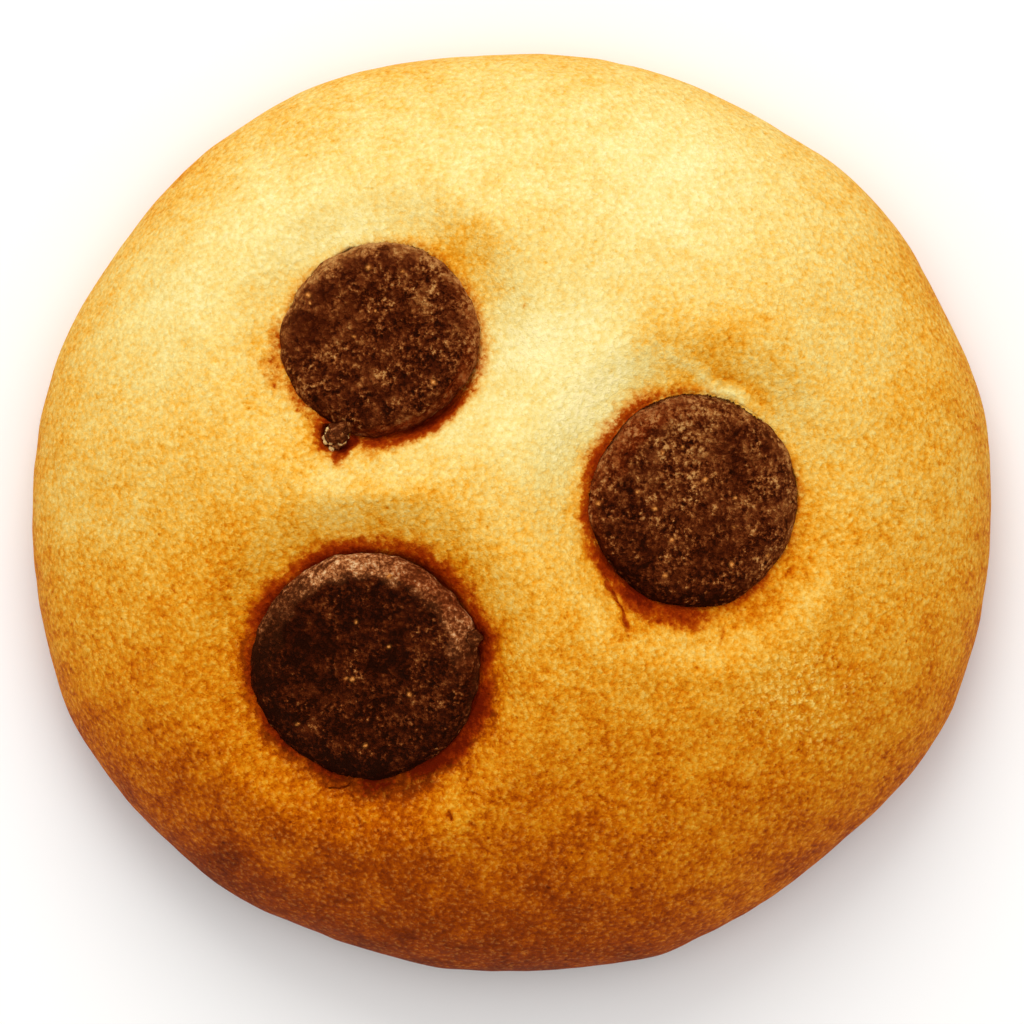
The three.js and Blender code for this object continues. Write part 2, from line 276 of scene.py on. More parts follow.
@lru_cache(maxsize=None)
def outlineAt(bearing):
    angle = math.radians(bearing)
    a, b = dough["width"] / 2, dough["depth"] / 2
    ellipse = a * b / math.hypot(b * math.cos(angle), a * math.sin(angle))
    return ellipse + swellAt(dough["outline"], bearing)


def outlineRadius(bearing):
    return outlineAt(round(bearing, 2))


def domeHeight(share):
    rise = (1 - min(share, 1.0) ** dough["domePower"]) ** dough["domeEdge"]
    return dough["waistHeight"] + (dough["height"] - dough["waistHeight"]) * rise


def chipRadius(chip, bearing):
    return chipOutline(chip["node"], round(bearing, 1))


@lru_cache(maxsize=None)
def chipOutline(node, bearing):
    chip = next(chip for chip in chips.values() if chip["node"] == node)
    angle = math.radians(bearing)
    place = (chip["radius"] * math.cos(angle), chip["radius"] * math.sin(angle), 0)
    uneven = sum(reach * wobble(place, size, chip["seed"] + 40) for size, reach in chipForm["ragged"])
    return chip["radius"] + swellAt(chip["swells"], bearing) + uneven


def isFar(chip, x, y, what):
    return math.hypot(x - chip["x"], y - chip["y"]) > chip["radius"] + beyondReach[what]


def beyondChip(chip, x, y):  # how far outside a chip's side a place is, and its bearing there
    dx, dy = x - chip["x"], y - chip["y"]
    bearing = bearingOf(dx, dy)
    radius = chip["radius"] if isFar(chip, x, y, "swells") else chipRadius(chip, bearing)
    return math.hypot(dx, dy) - radius, bearing


def topHeight(x, y):  # the dough's top as if it had no pockets
    share = math.hypot(x, y) / outlineRadius(bearingOf(x, y))
    dimples = [
        dough["dimpleDepth"] * fade(beyondChip(chip, x, y)[0] / dough["dimpleReach"])
        for chip in chips.values()
    ]
    kept = fade((share - dough["reliefShare"]) / (1 - dough["reliefShare"]))
    return domeHeight(share) + (patchSum(dough["mounds"], x, y) - math.hypot(*dimples)) * kept


def seatOf(chip, samples=24):  # the height and slope of a chip's face
    height, slopeX, slopeY = chip["proud"], *chip["lean"]
    for i in range(samples):
        angle = 2 * math.pi * i / samples
        dx, dy = chip["radius"] * math.cos(angle), chip["radius"] * math.sin(angle)
        there = topHeight(chip["x"] + dx, chip["y"] + dy)
        height += there / samples
        slopeX += 2 * there * dx / (chip["radius"] ** 2 * samples)
        slopeY += 2 * there * dy / (chip["radius"] ** 2 * samples)
    return height, slopeX, slopeY


for chip in chips.values():
    chip["seat"] = seatOf(chip)


def faceHeight(chip, x, y):
    height, slopeX, slopeY = chip["seat"]
    return height + slopeX * (x - chip["x"]) + slopeY * (y - chip["y"])


def knobPlace(chip, knob):  # from the chip's middle
    bearing, radius, reach, drop = knob
    away = chipRadius(chip, bearing) + reach
    return away * math.cos(math.radians(bearing)), away * math.sin(math.radians(bearing))


def underside(radius, away):  # how far below its face a chip's underside is, away from its middle
    form = chipForm
    shoulderShare, depthShare = form["shoulder"]
    corners = [
        (0, form["height"]),
        (form["tipRadius"], form["height"] - form["tipRise"]),
        (shoulderShare * radius, depthShare * form["height"]),
        (radius, form["edge"] + form["side"]),
    ]
    for (r0, d0), (r1, d1) in zip(corners, corners[1:]):
        if away <= r1:
            return d0 + (d1 - d0) * (away - r0) / (r1 - r0)
    return corners[-1][1]


# the baked dough

crustLines = [  # splits, folds and creases in the crust beside the chips; the dark of the splits is stain and painted shade
    {  # ragged crack beside the right chip
        "points": [(4.3, -2.3), (4.7, -3.4), (5.15, -4.2), (5.5, -4.8), (5.75, -5.6), (5.95, -6.6)],
        "width": 0.14, "depth": 0.15, "stainAndShade": 0.72,
    },
    {  # dark tip below the knob
        "points": [(-7.3, 3.75), (-7.9, 3.5), (-8.4, 3.1), (-8.95, 2.2)],
        "width": 0.34, "depth": 0.2, "stainAndShade": 1.05,
    },
    {
        "points": [(10.75, -5.4), (10.6, -5.9), (10.45, -6.3), (10.35, -6.8)],
        "width": 0.09, "depth": 0.06, "stainAndShade": 0.42,
    },
    {"points": [(-9.3, -13.7), (-8.6, -13.75), (-7.7, -13.4)], "width": 0.11, "depth": 0.15, "stainAndShade": 0.85},
    {"points": [(-8.1, -14), (-7.3, -14.4)], "width": 0.15, "depth": 0.1, "stainAndShade": 0.65},
    {"points": [(-7.7, -14.9), (-7.4, -15.8)], "width": 0.08, "depth": 0.08, "stainAndShade": 0.4},
    {"points": [(-3.1, -14.8), (-2.95, -15.4)], "width": 0.09, "depth": 0.14, "stainAndShade": 0.75},
    {"points": [(-2.1, -15.3), (-1.8, -15.7)], "width": 0.08, "depth": 0.1, "stainAndShade": 0.5},
    {  # pale ridge above the right chip, its paleness partly painted highlight on the lit crest
        "points": [(7.3, 8.3), (8.3, 7.7), (9.4, 7), (9.85, 6.3), (11.2, 5.9), (12.1, 5.1)],
        "width": 0.28, "depth": -0.06, "bakeAndShade": -0.26,
    },
    {  # and the crease below it, browned partly as painted shade
        "points": [(9.6, 6.95), (10.45, 6.75), (11.5, 6.4), (12.5, 5.8), (13.2, 4.6)],
        "width": 0.26, "depth": 0.04, "bakeAndShade": 0.2,
    },
    {  # soft groove round the right chip
        "points": [(14.5, 2.6), (14.8, 0.6), (14.4, -1.9), (13.5, -3.9), (12.1, -5.3)],
        "width": 0.45, "depth": 0.04, "bakeAndShade": 0.1,
    },
]
ragged = {  # how the lines stray and vary
    "reach": 0.13, "size": 0.4, "seeds": (31, 47),
    "widthShare": 0.8, "widthSize": 0.5, "widthSeed": 59, "thinnest": 0.05,
    "stainShare": 0.8, "taper": 5,
}

stainSpots = [  # x, y, size, strength
    (7.1, -4.95, 0.14, 0.8), (7.35, -5.35, 0.2, 0.85), (7.7, -5.15, 0.12, 0.7), (7.95, -5.5, 0.12, 0.8),
    (7.6, -5.65, 0.12, 0.7), (8.4, -5.15, 0.1, 0.6), (9, -5.1, 0.09, 0.55), (-11.95, 7.55, 0.16, 0.6),
    (-11.75, 6.3, 0.14, 0.6), (-12.3, 6.9, 0.12, 0.45), (-10.6, 5.1, 0.12, 0.6), (-10.1, 4.7, 0.1, 0.55),
    (-9.3, 4.55, 0.1, 0.6), (0.63, 10.3, 0.11, 0.34), (0.22, 6.7, 0.08, 0.3), (12.55, 9.6, 0.06, 0.4),
    (12.85, 9.58, 0.06, 0.4), (13.25, 9.7, 0.12, 0.34),
]

for line in crustLines:  # the box that a line has any effect in
    across = [x for x, y in line["points"]]
    along = [y for x, y in line["points"]]
    room = 4 * line["width"] + 0.3
    line["frame"] = (min(across) - room, max(across) + room, min(along) - room, max(along) + room)


def awayFromLine(x, y, points):  # distance, and 0 at the line's ends rising to 1 inside
    nearest, share = math.inf, 0.0
    count = len(points) - 1
    for i in range(count):
        (x0, y0), (x1, y1) = points[i], points[i + 1]
        dx, dy = x1 - x0, y1 - y0
        t = min(max(((x - x0) * dx + (y - y0) * dy) / (dx * dx + dy * dy), 0), 1)
        away = math.hypot(x - x0 - t * dx, y - y0 - t * dy)
        if away < nearest:
            nearest, share = away, (i + t) / count
    return nearest, min(1.0, ragged["taper"] * share, ragged["taper"] * (1 - share))


def linesAt(x, y):  # the depth, the stain and painted shade, and the browning with painted light and shade that the crust's lines give a place
    depth = stainAndShade = bakeAndShade = 0.0
    for line in crustLines:
        west, east, south, north = line["frame"]
        if not (west < x < east and south < y < north):
            continue
        stray = [ragged["reach"] * wobble((x, y, 0), ragged["size"], seed) for seed in ragged["seeds"]]
        away, inside = awayFromLine(x + stray[0], y + stray[1], line["points"])
        varied = wobble((x, y, 0), ragged["widthSize"], ragged["widthSeed"])
        width = line["width"] * (1 + ragged["widthShare"] * varied)
        shown = max(width, ragged["thinnest"])
        depth += line["depth"] * bell(away, shown / 2) * inside
        stainAndShade = max(stainAndShade, line.get("stainAndShade", 0.0) * bell(away, ragged["stainShare"] * shown) * inside)
        bakeAndShade += line.get("bakeAndShade", 0.0) * bell(away, width) * inside
    return depth, stainAndShade, bakeAndShade


def wallOf(chip, x, y):  # how far a place is outside a pocket's wall and its chip, and the gap there
    beyond, bearing = beyondChip(chip, x, y)
    slack = swellAt(chip["slack"], bearing)
    outside = beyond - slack
    for knob in chip["knobs"]:
        knobX, knobY = knobPlace(chip, knob)
        away = math.hypot(x - chip["x"] - knobX, y - chip["y"] - knobY) - knob[1] - dough["knobGap"]
        if away < outside:
            outside, slack = away, dough["wideSlack"]
    return outside, beyond, slack


def pocketDrop(x, y, top):  # how far the dough's surface sinks into a pocket at a place
    for chip in chips.values():
        if isFar(chip, x, y, "pocket"):
            continue
        outside, beyond, slack = wallOf(chip, x, y)
        wide = min(slack / dough["wideSlack"], 1.0)
        lip = dough["lip"] * (dough["tightLip"] + (1 - dough["tightLip"]) * wide)
        if outside > lip:
            continue
        roll = min((lip - outside) / lip, 1.0)
        depth = dough["lipDepth"] * (dough["tightDepth"] + (1 - dough["tightDepth"]) * wide)
        drop = depth * (1 - math.sqrt(1 - roll * roll))
        if outside < 0:
            drop += dough["moatDepth"] * wide * (1 - fade(-outside / dough["moatEdge"]))
        if beyond < -dough["contact"]:
            floor = faceHeight(chip, x, y) - underside(chip["radius"], chip["radius"] + beyond)
            drop = max(drop, top - floor + dough["seatGap"])
        return drop
    return 0.0


def doughProfile():  # (share of the outline, height, run from the top) from the base up
    base, waist = dough["baseShare"], dough["waistHeight"]
    points = [(base * i / dough["baseRings"], 0.0) for i in range(dough["baseRings"])]
    for i in range(dough["sideRings"]):
        turn = math.pi / 2 * i / dough["sideRings"]
        points.append((base + (1 - base) * math.sin(turn), waist * (1 - math.cos(turn))))
    radius, share, nudge = dough["width"] / 2, 1.0, 0.002
    while share > dough["ringStep"] / radius / 2:
        points.append((share, domeHeight(share)))
        slope = (domeHeight(share - nudge) - domeHeight(share)) / (nudge * radius)
        share -= dough["ringStep"] / (radius * math.hypot(1, slope))
    points.append((0.0, domeHeight(0)))
    runs = [0.0]
    for (s0, z0), (s1, z1) in zip(reversed(points[1:]), reversed(points[:-1])):
        runs.append(runs[-1] + math.hypot((s1 - s0) * radius, z1 - z0))
    return [(s, z, run) for (s, z), run in zip(points, reversed(runs))]


browningAndShade = {  # 0 is palest and 1 darkest: the crust's real browning, with painted shade that darkens it towards the south, away from the light
    "middle": 0.466,
    # painted shade: the crust grows darker from north to south, away from the light
    "northToSouth": -0.456,
    "westToEast": -0.008,
    "sides": 0.21,
    "ends": 0.25,
    "slant": 0.05,
    "shoulder": (-0.18, 6),  # amount and power of the share of the outline
    "rim": (0.2, 16),
    "rimNorth": 0.12,
    "foot": 0.2,
    "patches": [  # x, y, amount, reach: browner and paler places, partly real browning, partly painted shade on the dimples' south-facing walls and painted light on the lit crescents south of the chips
        (1, 8.6, -0.18, 2.4), (4.4, 6.4, -0.27, 2.6), (3.9, 9.6, -0.08, 1.8), (-6.6, 0.6, 0.08, 1.2),
        (1.6, 3.3, -0.2, 2.7), (8.2, 16, -0.13, 3.8), (-16.7, 10.3, -0.12, 2.8), (-14.5, 13.2, -0.12, 2.6),
        (-11.5, 15.6, -0.08, 2.5), (-7.8, 14.2, -0.12, 1.3), (-10.4, 12.8, -0.1, 1.2), (-19, 6.6, -0.08, 3),
        (-16.5, 16.5, 0.16, 3.6), (-6, 21.5, 0.12, 4), (2, 22, 0.08, 4), (-2.6, 13, 0.24, 1.9),
        (-0.9, 10.6, 0.1, 1), (0, 13.4, 0.07, 1.8), (10, 8.7, 0.14, 1.5), (19.9, 11.6, 0.1, 3),
        (12.6, 9.2, 0.08, 2.2), (9.2, -7, -0.12, 1.5), (7, -6.9, -0.07, 1.4), (11.6, -6.7, -0.08, 1.4),
        (13.4, 1.4, -0.07, 1.6), (-9.4, 1.8, -0.12, 1.4), (-7.4, 1.7, -0.07, 1.3), (-5.2, 2.6, -0.09, 1.3),
        (-3, 4, -0.12, 1.5), (13.2, -9, -0.06, 1.9), (-22.5, 0.3, -0.12, 2.6), (-22, -6.4, -0.08, 2.4),
        (-14.5, -2.2, 0.12, 2.6), (-6.4, -14.6, 0.08, 2.4), (9.5, -16, -0.06, 5), (17, -12, -0.05, 3.2),
        (10, -19.5, -0.05, 3), (-10.6, 18.6, 0.12, 2.4), (5.4, -5.6, 0.08, 1.3), (20.6, 5.8, 0.12, 2.6),
        (-2.6, -15, -0.14, 1.8), (-1, 5.4, -0.16, 1.7), (-0.4, 8.4, -0.08, 1.6), (8.6, 7.3, 0.22, 1.5),
        (11.2, 7.2, 0.1, 1.5), (6.3, 5.7, 0.06, 1.1), (-7.2, -14.6, -0.1, 1.5), (-10.6, -12.8, -0.08, 1.8),
        (-12.6, -11, -0.06, 1.6), (-10.5, 0.6, 0.09, 1.6), (-10.5, 3.5, 0.1, 1), (-3.4, -0.2, 0.07, 1.6),
        (7.4, 9.2, 0.1, 1.4), (-2.6, -2.8, 0.08, 1.2), (-17.5, -1.2, -0.08, 2.6), (18, 7.6, -0.05, 2.6),
        (4.4, -5.4, -0.16, 1), (14.2, -4.8, -0.1, 1.5), (-14.4, -17.4, 0.13, 1.2),
    ],
}

flecksAndGlints = {"x": 14.6, "y": -9.1, "reach": 1.9, "least": 0.13}  # where pale sugary flecks, brightened as painted glints, are thickest


# how brown the crust is at a place, with painted shade on its south side and on the dimples' shaded walls
def bakeAndShadeAt(x, y, z):
    share = min(math.hypot(x, y) / outlineRadius(bearingOf(x, y)), 1.0)
    across, along = 2 * x / dough["width"], 2 * y / dough["depth"]
    value = browningAndShade["middle"]
    value += browningAndShade["northToSouth"] * along + browningAndShade["westToEast"] * across
    value += browningAndShade["sides"] * across ** 2 + browningAndShade["ends"] * along ** 2
    value += browningAndShade["slant"] * across * along
    amount, power = browningAndShade["shoulder"]
    value += amount * share ** power
    amount, power = browningAndShade["rim"]
    value += (amount + browningAndShade["rimNorth"] * along) * share ** power
    value += browningAndShade["foot"] * fade(z / dough["waistHeight"])
    return value + patchSum(browningAndShade["patches"], x, y)


stainAndShadeRagged = [(0.4, 0.8), (0.3, 0.35)]  # share and size of the uneven reach of the stains and painted shade


def stainAndShadeAt(x, y):  # melted chocolate soaked into the dough beside a chip, with painted shade in the gap beside it
    strongest = max(
        strength * bell(math.hypot(x - sx, y - sy), size) for sx, sy, size, strength in stainSpots
    )
    for chip in chips.values():
        if isFar(chip, x, y, "stainAndShade"):
            continue
        outside = max(0.0, wallOf(chip, x, y)[0])
        bearing = bearingOf(x - chip["x"], y - chip["y"])
        seeds = (chip["seed"], 71)
        ragging = 1 + sum(
            share * wobble((x, y, 0), size, seed) for (share, size), seed in zip(stainAndShadeRagged, seeds)
        )
        for at, spread, reach, width, strength in chip["stainsAndShade"]:
            amount = strength * bell(turnBetween(bearing, at), spread)
            strongest = max(strongest, amount * bell(max(0.0, outside - reach * ragging), width * ragging))
    return strongest


def newLayers(bm, *names):  # a number at each vert, read by the materials as an attribute
    return [bm.verts.layers.float.new(name) for name in names]


def spinRound(bm, chain, steps):  # a chain of verts from axis to axis, spun to a closed form
    edges = [bm.edges.new(pair) for pair in zip(chain, chain[1:])]
    bmesh.ops.spin(
        bm, geom=chain + edges, axis=(0, 0, 1), cent=(0, 0, 0),
        angle=2 * math.pi, steps=steps, use_merge=True,
    )
    bmesh.ops.remove_doubles(bm, verts=bm.verts, dist=tiny)


bakeMap = {  # middle and reach of the top and side's disc in the UV map, and of the base's small one
    "disc": (0.46, 0.45, 1.02),
    "base": (0.875, 0.115),
    "baseTop": 0.12,  # the base's hollows stay below this height
    "down": -0.9,
}


def makeDough():
    bm = bmesh.new()
    profile = doughProfile()
    [runLayer] = newLayers(bm, "run")
    chain = []
    for share, z, run in profile:
        vert = bm.verts.new((share, 0, z))
        vert[runLayer] = run
        chain.append(vert)
    spinRound(bm, chain, dough["segments"])
    for vert in bm.verts:
        reach = outlineRadius(bearingOf(vert.co.x, vert.co.y))
        vert.co.x *= reach
        vert.co.y *= reach

    # a finer mesh round each pocket, and finer still along the splits
    def refine(chosen, cuts):
        near = {
            vert for vert in bm.verts
            if vert.co.z > dough["waistHeight"] and chosen(vert.co.x, vert.co.y)
        }
        edges = [edge for edge in bm.edges if edge.verts[0] in near and edge.verts[1] in near]
        bmesh.ops.subdivide_edges(bm, edges=edges, cuts=cuts, use_grid_fill=True)

    def nearPocket(x, y):
        inner, outer = dough["finerRound"]
        return any(inner < beyondChip(chip, x, y)[0] < outer for chip in chips.values())

    def nearSplit(x, y):
        return any(
            line["width"] < dough["thinLine"] and awayFromLine(x, y, line["points"])[0] < dough["finerAlong"]
            for line in crustLines
        )

    refine(nearPocket, 2)
    refine(nearSplit, 1)
    refine(nearSplit, 1)
    print("dough triangles:", sum(len(face.verts) - 2 for face in bm.faces))

    for vert in bm.verts:
        x, y, z = vert.co
        if z >= dough["waistHeight"]:
            vert.co.z = topHeight(x, y) + patchSum(dough["fills"], x, y)
    bmesh.ops.recalc_face_normals(bm, faces=bm.faces)
    bm.normal_update()

    bakeAndShadeLayer, stainAndShadeLayer, fleckAndGlintLayer = newLayers(bm, "bakeAndShade", "stainAndShade", "flecksAndGlints")
    for vert in bm.verts:
        x, y, z = vert.co
        lumps = sum(rise * wobble(vert.co, size, dough["seed"]) for size, rise in dough["lumps"])
        vert[bakeAndShadeLayer] = bakeAndShadeAt(x, y, z)
        if z < tiny:  # the base only has shallow hollows
            share, end = dough["baseHollow"]
            vert.co.z = max(0.0, share * lumps) * fade(math.hypot(x, y) / end)
            continue
        vert.co += vert.normal * lumps * min(z / 2, 1.0)
        vert.co.z = max(vert.co.z, 0.0)
        if z >= dough["waistHeight"]:
            depth, stainAndShade, bakeAndShade = linesAt(x, y)
            vert.co.z -= pocketDrop(x, y, z) + depth
            vert[stainAndShadeLayer] = max(stainAndShade, stainAndShadeAt(x, y))
            vert[bakeAndShadeLayer] += bakeAndShade
            thickest = bell(math.hypot(x - flecksAndGlints["x"], y - flecksAndGlints["y"]), flecksAndGlints["reach"])
            vert[fleckAndGlintLayer] = max(flecksAndGlints["least"], thickest)

    # one map for the top and side, and a small one for the base
    uvLayer = bm.loops.layers.uv.new("OFBake")
    longest = max(run for share, z, run in profile if z > 0)
    footReach = dough["baseShare"] * dough["width"] / 2
    for face in bm.faces:
        low = all(vert.co.z < bakeMap["baseTop"] for vert in face.verts)
        onBase = low and face.normal.z < bakeMap["down"]
        for loop in face.loops:
            x, y, z = loop.vert.co
            if onBase:
                middle, reach = bakeMap["base"]
                spread = reach / footReach
            else:
                middle, reach, most = bakeMap["disc"]
                spread = reach * min(loop.vert[runLayer] / longest, most) / (math.hypot(x, y) or 1.0)
            loop[uvLayer].uv = (middle + spread * x, middle + spread * y)
    bm.verts.layers.float.remove(runLayer)
    return toPiece("bakedDough", bm)


def toPiece(name, bm):  # a finished mesh, turned from millimetres to metres
    bmesh.ops.scale(bm, vec=(mm, mm, mm), verts=bm.verts)
    for face in bm.faces:
        face.smooth = True
    mesh = bpy.data.meshes.new(name)
    bm.to_mesh(mesh)
    bm.free()
    piece = bpy.data.objects.new(name, mesh)
    bpy.context.collection.objects.link(piece)
    return piece


# the chocolate chips, one shape with each chip's own outline, grain and seat

def chipProfile(radius):  # (radius, height from the face), from the tip up to the face
    form = chipForm
    points = []
    count = int(radius / form["underStep"])
    for i in range(count):
        points.append((radius * i / count, -underside(radius, radius * i / count)))
    for i in range(form["sideSteps"]):
        points.append((radius, -form["edge"] - form["side"] * (1 - i / form["sideSteps"])))
    for i in range(form["edgeSteps"]):
        turn = math.pi / 2 * i / form["edgeSteps"]
        points.append((radius - form["edge"] * (1 - math.cos(turn)), form["edge"] * (math.sin(turn) - 1)))
    flat = radius - form["edge"]
    hollow = form["dishShare"] * radius
    count = int(flat / form["faceStep"])
    for i in range(count + 1):
        away = flat * (1 - i / count)
        points.append((away, -form["dishDepth"] * fade((away - hollow) / (flat - hollow))))
    return points


def rimAmount(values, bearing, inward, seed):  # (bearing, spread, width, amount) round a chip's rim
    total = 0.0
    share, lump = chipForm["rimRagged"]
    for at, spread, width, amount in values:
        uneven = width * (1 + share * wobble((bearing / lump, inward, 0), 1.0, seed))
        within = fade((inward - uneven) / chipForm["rimEdge"])
        total = max(total, amount * bell(turnBetween(bearing, at), spread) * within)
    return total


crumbs = {
    "dustAndRimLight": 0.3,
    "lumps": [(0.5, 0.7), (0.22, 0.35)],  # size and rise
    "crystal": (1.9, 1.2, 0.12),  # speck and glint strength, how much it varies, and size of its patches: pale crystals, brightened as painted glints
    "crystalLumps": (0.7, 0.11),
    "seeds": (7, 9, 13),
}


def knobSurface(middle, place):  # a place on a round knob, moved to the real one's uneven surface
    uneven = sum(rise * wobble(place, size, crumbs["seeds"][0]) for size, rise in crumbs["lumps"])
    return middle + (place - middle) * (1 + uneven)


def addKnobs(bm, chip, dustAndRimLightLayer, speckAndGlintLayer):  # crumbs of chocolate and pale crystals on a chip's rim
    strength, varied, patch = crumbs["crystal"]
    share, lump = crumbs["crystalLumps"]
    for knob in chip["knobs"]:
        x, y = knobPlace(chip, knob)
        bearing, radius, reach, drop = knob
        middle = Vector((x, y, -drop))
        made = bmesh.ops.create_icosphere(
            bm, subdivisions=4, radius=radius, matrix=Matrix.Translation(middle),
        )
        for vert in made["verts"]:
            vert[dustAndRimLightLayer] = crumbs["dustAndRimLight"]
            vert.co = knobSurface(middle, vert.co)
        for turn, rise, size in chip.get("crystals", []):
            angle = math.radians(turn)
            flat = math.sqrt(1 - rise * rise)
            outward = Vector((flat * math.cos(angle), flat * math.sin(angle), rise))
            place = knobSurface(middle, middle + radius * outward)
            made = bmesh.ops.create_icosphere(
                bm, subdivisions=2, radius=size, matrix=Matrix.Translation(place),
            )
            for vert in made["verts"]:
                vert[speckAndGlintLayer] = strength + varied * wobble(vert.co, patch, crumbs["seeds"][1])
                vert.co += (vert.co - place) * share * wobble(vert.co, lump, crumbs["seeds"][2])


def makeChip(name, chip):
    form = chipForm
    bm = bmesh.new()
    chain = [bm.verts.new((r, 0, h)) for r, h in chipProfile(chip["radius"])]
    spinRound(bm, chain, form["segments"])

    layers = newLayers(bm, "dustAndRimLight", "tone", "specksAndGlints", "rust", "smooth")
    dustAndRimLightLayer, toneLayer, speckAndGlintLayer, rustLayer, smoothLayer = layers
    highlightAmount, lineWidth = form["stepHighlight"]
    strength, share = form["speckAndGlint"]
    for vert in bm.verts:
        x, y, h = vert.co
        away, bearing = math.hypot(x, y), bearingOf(x, y)
        grown = chipRadius(chip, bearing) / chip["radius"]
        vert.co.x *= grown
        vert.co.y *= grown
        if h < form["rimFrom"]:
            continue
        inward = chip["radius"] - away
        vert[dustAndRimLightLayer] = rimAmount(chip["dustAndRimLight"], bearing, inward, chip["seed"])
        vert[rustLayer] = rimAmount(chip["rust"], bearing, inward, chip["seed"] + 5)
        vert[smoothLayer] = patchSum(chip["smooth"], x, y)
        step = 0.0
        tone = patchSum(chip["patches"], x, y)
        for at, spread, width, drop in chip["terraces"]:
            here = bell(turnBetween(bearing, at), spread)
            step += drop * here * fade((inward - width) / form["stepEdge"])
            # a painted highlight along the step's edge
            tone += highlightAmount * here * bell(inward - width, lineWidth)
        # painted light and shade round the rim
        for at, spread, width, amount in chip["rimLightAndShade"]:
            within = fade(inward / (form["rimShare"] * width))
            tone += amount * bell(turnBetween(bearing, at), spread) * within
        vert[toneLayer] = tone
        vert[speckAndGlintLayer] = sum(
            strength * bell(math.hypot(x - px, y - py), share * size) for px, py, size in chip["specksAndGlints"]
        )
        vert.co.z -= step * min((h - form["rimFrom"]) / form["stepFade"], 1.0)
        vert.co.z += form["speckRise"] * vert[speckAndGlintLayer]
    addKnobs(bm, chip, dustAndRimLightLayer, speckAndGlintLayer)
    bmesh.ops.recalc_face_normals(bm, faces=bm.faces)
    bm.normal_update()
    pebble, pebbleRise = form["pebbles"]
    straySize, strayReach = form["pebbleStray"]
    for vert in bm.verts:
        lumps = sum(rise * wobble(vert.co, size, chip["seed"]) for size, rise in form["lumps"])
        if vert.co.z > form["pebblesFrom"]:
            stray = Vector([wobble(vert.co, straySize, seed) for seed in (61, 67)] + [0]) * strayReach
            nearest = noise.voronoi((vert.co + stray) / pebble + Vector((chip["seed"], 0, 0)))[0][0]
            amount = 0.5 + 0.5 * wobble(vert.co, form["pebblePatch"], chip["seed"] + 2)
            lumps += pebbleRise * amount * (0.5 - nearest)
        vert.co += vert.normal * lumps
    for vert in bm.verts:
        x, y, h = vert.co
        x, y = x + chip["x"], y + chip["y"]
        vert.co = (x, y, h + faceHeight(chip, x, y))
    return toPiece(name, bm)


# finishes

def linear(r, g, b):  # an 8-bit colour as Blender's linear one
    def channel(c):
        c /= 255
        return c / 12.92 if c <= 0.04045 else ((c + 0.055) / 1.055) ** 2.4
    return (channel(r), channel(g), channel(b), 1.0)


def addNode(tree, kind, inputs=None, **settings):  # each input is a value, or an output to link to it
    node = tree.nodes.new(kind)
    for key, value in settings.items():
        setattr(node, key, value)
    for key, value in (inputs or {}).items():
        if isinstance(value, bpy.types.NodeSocket):
            tree.links.new(value, node.inputs[key])
        else:
            node.inputs[key].default_value = value
    return node


def ramp(tree, factor, stops):  # stops are (place, red, green, blue), the colour in 8 bits
    node = addNode(tree, "ShaderNodeValToRGB", {"Fac": factor})
    elements = node.color_ramp.elements
    while len(elements) < len(stops):
        elements.new(0.5)
    for element, (place, *colour) in zip(elements, stops):
        element.position = place
        element.color = linear(*colour)
    return node.outputs["Color"]


def combine(tree, operation, a, b, clamp=False):
    node = addNode(tree, "ShaderNodeMath", {0: a, 1: b}, operation=operation, use_clamp=clamp)
    return node.outputs["Value"]


def times(tree, a, b, clamp=False):
    return combine(tree, "MULTIPLY", a, b, clamp)


def addUp(tree, value, *parts):  # a value and further parts, each (value, amount)
    for part, amount in parts:
        value = combine(tree, "ADD", value, times(tree, part, amount))
    return value


def mapRange(tree, value, low, high, toLow, toHigh):
    node = addNode(tree, "ShaderNodeMapRange", {
        "Value": value, "From Min": low, "From Max": high, "To Min": toLow, "To Max": toHigh,
    }, clamp=True)
    return node.outputs["Result"]


def finishSurface(tree, shader, fine, height, values):  # roughness, gloss and bump
    rough = combine(tree, "ADD", times(tree, fine, values["roughGrain"]), values["roughness"])
    tree.links.new(rough, shader.inputs["Roughness"])
    shader.inputs["Specular IOR Level"].default_value = values["specular"]
    shader.inputs["Specular Tint"].default_value = values["specularTint"]
    bump = addNode(tree, "ShaderNodeBump", {
        "Strength": values["bump"], "Distance": values["bumpDepth"] * mm, "Height": height,
    })
    tree.links.new(bump.outputs["Normal"], shader.inputs["Normal"])


def brighten(tree, colour, amount):  # 0 keeps the colour, 0.1 makes it a tenth brighter
    scale = combine(tree, "ADD", amount, 1.0)
    node = addNode(tree, "ShaderNodeVectorMath", {0: colour, "Scale": scale}, operation="SCALE")
    return node.outputs["Vector"]


def mixColour(tree, factor, a, b, blend="MIX"):
    mix = {0: factor, 6: a, 7: b}  # the sockets for colours
    return addNode(tree, "ShaderNodeMix", mix, data_type="RGBA", blend_type=blend).outputs[2]


grainForm = {
    "grain": {"Detail": 3.0, "Roughness": 0.7},
    "lumps": {"Detail": 2.0, "Roughness": 0.5},
    "stray": 0.6,  # how far the grain moves the granules
    "granules": (0.46, 2.2),  # distance at which they are level, and their strength
}


grainOutputs = ("Grain", "Granules", "Lumps", "Pores")  # all but the pores run from -1 to 1


